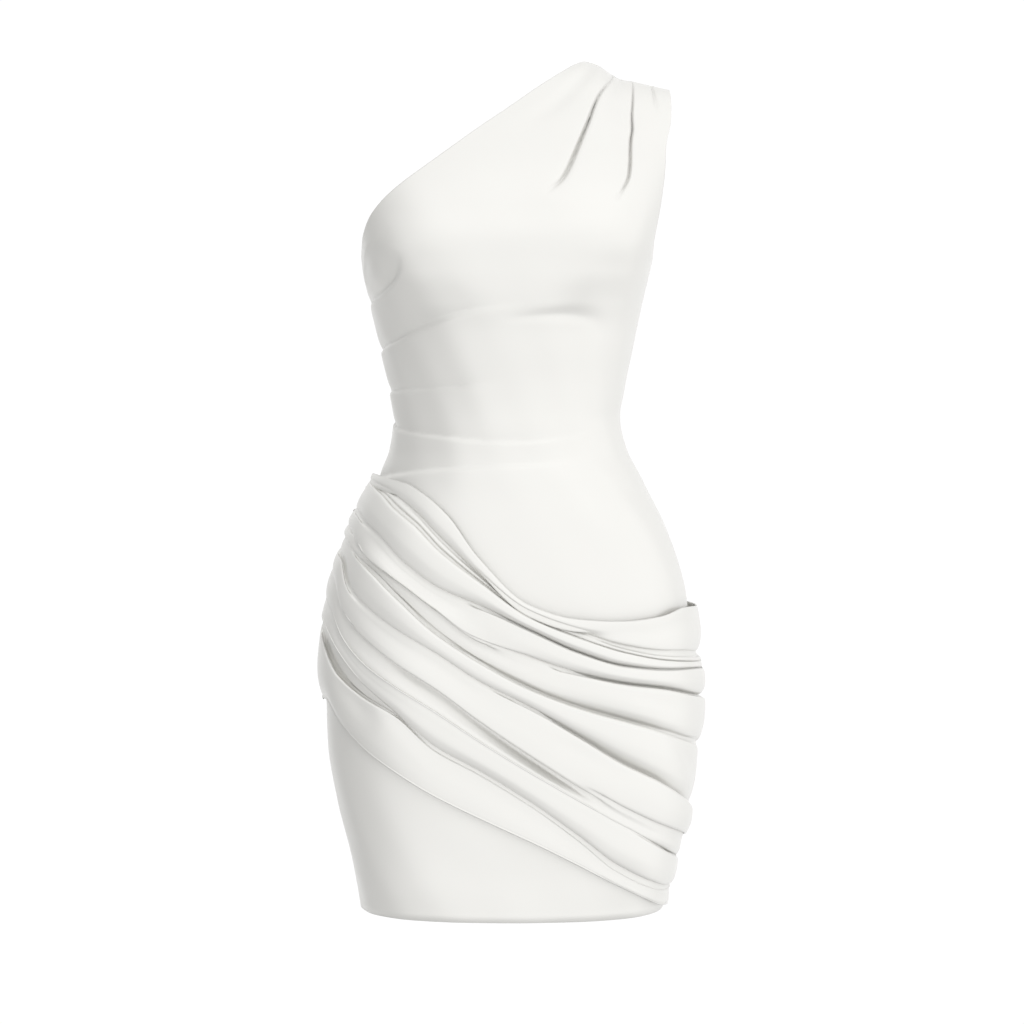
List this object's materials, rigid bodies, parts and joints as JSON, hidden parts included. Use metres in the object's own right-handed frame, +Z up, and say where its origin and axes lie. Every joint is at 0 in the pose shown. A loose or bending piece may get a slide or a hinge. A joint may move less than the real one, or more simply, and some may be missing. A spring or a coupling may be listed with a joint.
{
  "type": "one-shoulder dress",
  "caption": "Short ivory satin-crepe one-shoulder dress with a pleated hip drape, filled out as when worn.",
  "frame": {"origin": "underside of the strap at the shoulder seam, where the wearer's shoulder holds the dress", "axes": "+Z up, from the hem to the shoulder; -Y is the front; +X is the strap side, the wearer's left"},
  "size_m": [0.3821, 0.2605, 0.8297],
  "materials": {
    "satin_crepe": "smooth, soft sheen",
    "satin_crepe_drape": "smooth, soft sheen, pleated"
  },
  "bodies": {
    "root": {"front_panel": "satin_crepe", "back_panel": "satin_crepe", "front_drape": "satin_crepe_drape", "back_drape": "satin_crepe_drape"}
  },
  "joints": []
}
